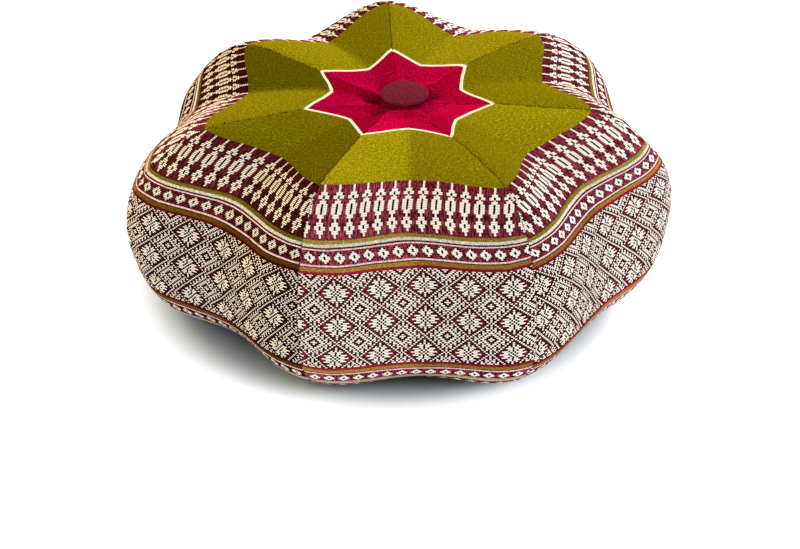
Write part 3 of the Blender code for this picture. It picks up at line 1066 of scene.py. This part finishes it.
def pale_floor():
    """The floor goes from a painted shadow to pale with the distance from its middle, times the right side's
    tint on the right, both tinted against the lamps' colours, and its painted glow grows with the same
    distance."""
    values = {"Roughness": MATT, "Specular_IOR_Level": FLOOR_SPECULAR, "Emission_Strength": FLOOR_GLOW}
    material, shader, net = new_material("pale_floor", **values)
    place = net.add("ShaderNodeTexCoord", {}).outputs["Object"]
    inputs = {0: place, 1: SHADE_MIDDLE}
    distance = net.add("ShaderNodeVectorMath", inputs, operation="DISTANCE").outputs["Value"]
    pale = net.mix(net.soft(distance, SHADE_FROM, SHADE_TO), FLOOR_SHADE, FLOOR_PALE)
    side = net.add("ShaderNodeSeparateXYZ", {0: place}).outputs[0]
    pale = net.tinted(pale, FLOOR_RIGHT_TINT, net.soft(side, *FLOOR_RIGHT))
    net.link(pale, shader, "Base Color")
    glow = net.soft(distance, GLOW_FROM, GLOW_TO)
    net.link(net.grey(glow), shader, "Emission Color")
    return material


# Floor, light and camera

def make_floor():
    """A wide pale floor. It is darkest beside the cushion's foot, where the lamps' shadow is deepened by
    painted shade, and beyond it glows with painted light like a lit studio table, which washes out the lamps'
    shadows, so that only a short soft shadow is left round the foot."""
    mesh = bpy.data.meshes.new("floor")
    far = FLOOR_HALF_WIDTH
    mesh.from_pydata([(-far, -far, 0), (far, -far, 0), (far, far, 0), (-far, far, 0)], [], [(0, 1, 2, 3)])
    mesh.materials.append(pale_floor())
    floor = new_object("floor", mesh)


def add_light(name, turn, elevation, width, power, colour):
    """A square lamp this many degrees round and up from the cushion and turned towards it."""
    turn, elevation = np.radians([turn, elevation])
    away = Vector((np.cos(turn) * np.cos(elevation), np.sin(turn) * np.cos(elevation), np.sin(elevation)))
    lamp = bpy.data.lights.new(name, "AREA")
    lamp.size, lamp.energy, lamp.color = width, power, colour
    light = new_object(name, lamp)
    light.location = Vector((0, 0, LIGHT_HEIGHT)) + LIGHT_DISTANCE * away
    light.rotation_euler = away.to_track_quat("Z", "Y").to_euler()


def set_light():
    """An even pale sky and the lamps, with colours shown as they are."""
    world = bpy.data.worlds.new("studio")
    bpy.context.scene.world = world
    world.use_nodes = True
    sky = world.node_tree.nodes["Background"].inputs
    sky["Color"].default_value = (1, 1, 1, 1)
    sky["Strength"].default_value = SKY
    for light in LIGHTS:
        add_light(*light)
    bpy.context.scene.view_settings.view_transform = "Standard"


def set_camera(axis):
    """Looks at the cushion as the photo does."""
    away = CAMERA_DISTANCE * np.array([0, -np.cos(CAMERA_ELEVATION), np.sin(CAMERA_ELEVATION)])
    place = axis + np.array([0, 0, CAMERA_HEIGHT]) + away
    camera = new_object("camera", bpy.data.cameras.new("camera"))
    camera.data.sensor_width = SENSOR_MILLIMETRES
    camera.data.lens = SENSOR_MILLIMETRES * FOCAL_PIXELS / PICTURE_WIDTH
    camera.data.clip_start, camera.data.clip_end = CAMERA_CLIP
    camera.location = place
    camera.rotation_euler = Vector(axis + CAMERA_AIM - place).to_track_quat("-Z", "Y").to_euler()
    bpy.context.scene.camera = camera


# The whole cushion

low, high = (np.array(corner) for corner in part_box("button_bottom"))
AXIS = (low + high) / 2 * [1, 1, 0]
top_low, top_high = (np.array(corner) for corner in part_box("button_top"))
TOP_HUB = (top_low + top_high) / 2 * [1, 1, 0] + TOP_BUTTON_OFF

yarns = yarn_group()
charts = [
    chart_group("diamond chart", DIAMOND_CHART),
    chart_group("lantern chart", LANTERN_CHART),
    chart_group("small flower chart", FLOWER_CHART),
]
cover = make_cover(AXIS)
cover.data.materials.append(banded_cloth(yarns, gap_group(), mirror_group(), charts))
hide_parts("cushion")
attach(cover, "root")

covered = button_cloth(yarns)
for name, hub, rim_height, up, seed in (
    ("button_top", TOP_HUB, TOP_RIM, 1, 11),
    ("button_bottom", AXIS, BOTTOM_RIM, -1, 12),
):
    button = make_button(name.replace("button", "covered_button"), hub, rim_height, up, seed)
    button.data.materials.append(covered)
    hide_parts(name)
    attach(button, "root")

make_floor()
set_light()
set_camera(AXIS)
